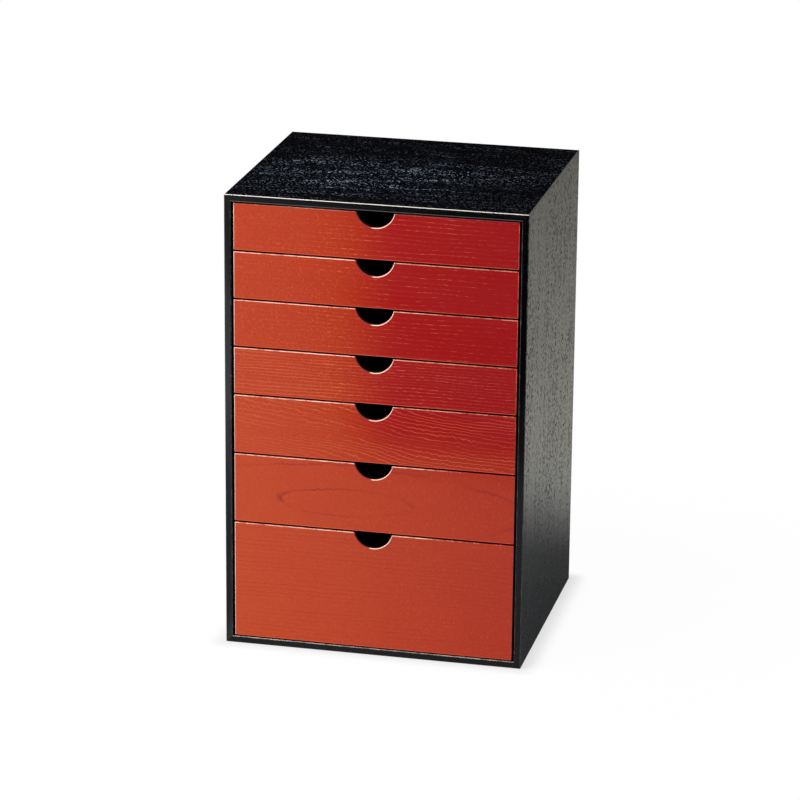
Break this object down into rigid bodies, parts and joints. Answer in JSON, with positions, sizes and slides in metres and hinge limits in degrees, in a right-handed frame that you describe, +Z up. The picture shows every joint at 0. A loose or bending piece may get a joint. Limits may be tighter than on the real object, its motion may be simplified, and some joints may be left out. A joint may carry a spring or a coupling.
{
  "type": "tabletop drawer chest",
  "caption": "Small tansu-style tabletop chest: a mitred black lacquered carcass with side-hung red drawers, each opened by a round finger notch.",
  "frame": {"origin": "on the floor, under the middle of the chest", "axes": "+Z up, -Y out of the drawer fronts, +X to the right of someone facing them"},
  "size_m": [0.305, 0.265, 0.47],
  "materials": {
    "black_lacquer": "satin black lacquer over open-pored wood, the grain still showing",
    "red_lacquer": "satin vermilion lacquer over open-pored wood with horizontal grain",
    "drawer_black": "flat black lacquer",
    "drawer_panel": "plywood in flat black lacquer",
    "black_panel": "plywood in flat black lacquer",
    "runner_wood": "dark stained and waxed hardwood",
    "peg_wood": "end grain of hardwood pegs under black lacquer",
    "spline_wood": "plain birch plywood",
    "steel": "plain steel brads"
  },
  "bodies": {
    "carcass": {"top_panel": "black_lacquer", "bottom_panel": "black_lacquer", "left_side_panel": "black_lacquer", "right_side_panel": "black_lacquer", "back_panel": "black_panel", "mitre_splines": "spline_wood", "runner_brads": "steel", "back_panel_brads": "steel", "runners_1": "runner_wood", "runners_2": "runner_wood", "runners_3": "runner_wood", "runners_4": "runner_wood", "runners_5": "runner_wood", "runners_6": "runner_wood", "runners_7": "runner_wood"},
    "drawer_1": {"drawer_1_front": "red_lacquer", "drawer_1_left_side": "drawer_black", "drawer_1_right_side": "drawer_black", "drawer_1_back": "drawer_black", "drawer_1_bottom": "drawer_panel", "drawer_1_pegs": "peg_wood"},
    "drawer_2": {"drawer_2_front": "red_lacquer", "drawer_2_left_side": "drawer_black", "drawer_2_right_side": "drawer_black", "drawer_2_back": "drawer_black", "drawer_2_bottom": "drawer_panel", "drawer_2_pegs": "peg_wood"},
    "drawer_3": {"drawer_3_front": "red_lacquer", "drawer_3_left_side": "drawer_black", "drawer_3_right_side": "drawer_black", "drawer_3_back": "drawer_black", "drawer_3_bottom": "drawer_panel", "drawer_3_pegs": "peg_wood"},
    "drawer_4": {"drawer_4_front": "red_lacquer", "drawer_4_left_side": "drawer_black", "drawer_4_right_side": "drawer_black", "drawer_4_back": "drawer_black", "drawer_4_bottom": "drawer_panel", "drawer_4_pegs": "peg_wood"},
    "drawer_5": {"drawer_5_front": "red_lacquer", "drawer_5_left_side": "drawer_black", "drawer_5_right_side": "drawer_black", "drawer_5_back": "drawer_black", "drawer_5_bottom": "drawer_panel", "drawer_5_pegs": "peg_wood"},
    "drawer_6": {"drawer_6_front": "red_lacquer", "drawer_6_left_side": "drawer_black", "drawer_6_right_side": "drawer_black", "drawer_6_back": "drawer_black", "drawer_6_bottom": "drawer_panel", "drawer_6_pegs": "peg_wood"},
    "drawer_7": {"drawer_7_front": "red_lacquer", "drawer_7_left_side": "drawer_black", "drawer_7_right_side": "drawer_black", "drawer_7_back": "drawer_black", "drawer_7_bottom": "drawer_panel", "drawer_7_pegs": "peg_wood"}
  },
  "joints": [
    {"name": "drawer_1_slide", "type": "slide", "parent": "carcass", "child": "drawer_1", "axis": [0, -1, 0], "range_m": [0, 0.2]},
    {"name": "drawer_2_slide", "type": "slide", "parent": "carcass", "child": "drawer_2", "axis": [0, -1, 0], "range_m": [0, 0.2]},
    {"name": "drawer_3_slide", "type": "slide", "parent": "carcass", "child": "drawer_3", "axis": [0, -1, 0], "range_m": [0, 0.2]},
    {"name": "drawer_4_slide", "type": "slide", "parent": "carcass", "child": "drawer_4", "axis": [0, -1, 0], "range_m": [0, 0.2]},
    {"name": "drawer_5_slide", "type": "slide", "parent": "carcass", "child": "drawer_5", "axis": [0, -1, 0], "range_m": [0, 0.2]},
    {"name": "drawer_6_slide", "type": "slide", "parent": "carcass", "child": "drawer_6", "axis": [0, -1, 0], "range_m": [0, 0.2]},
    {"name": "drawer_7_slide", "type": "slide", "parent": "carcass", "child": "drawer_7", "axis": [0, -1, 0], "range_m": [0, 0.2]}
  ]
}
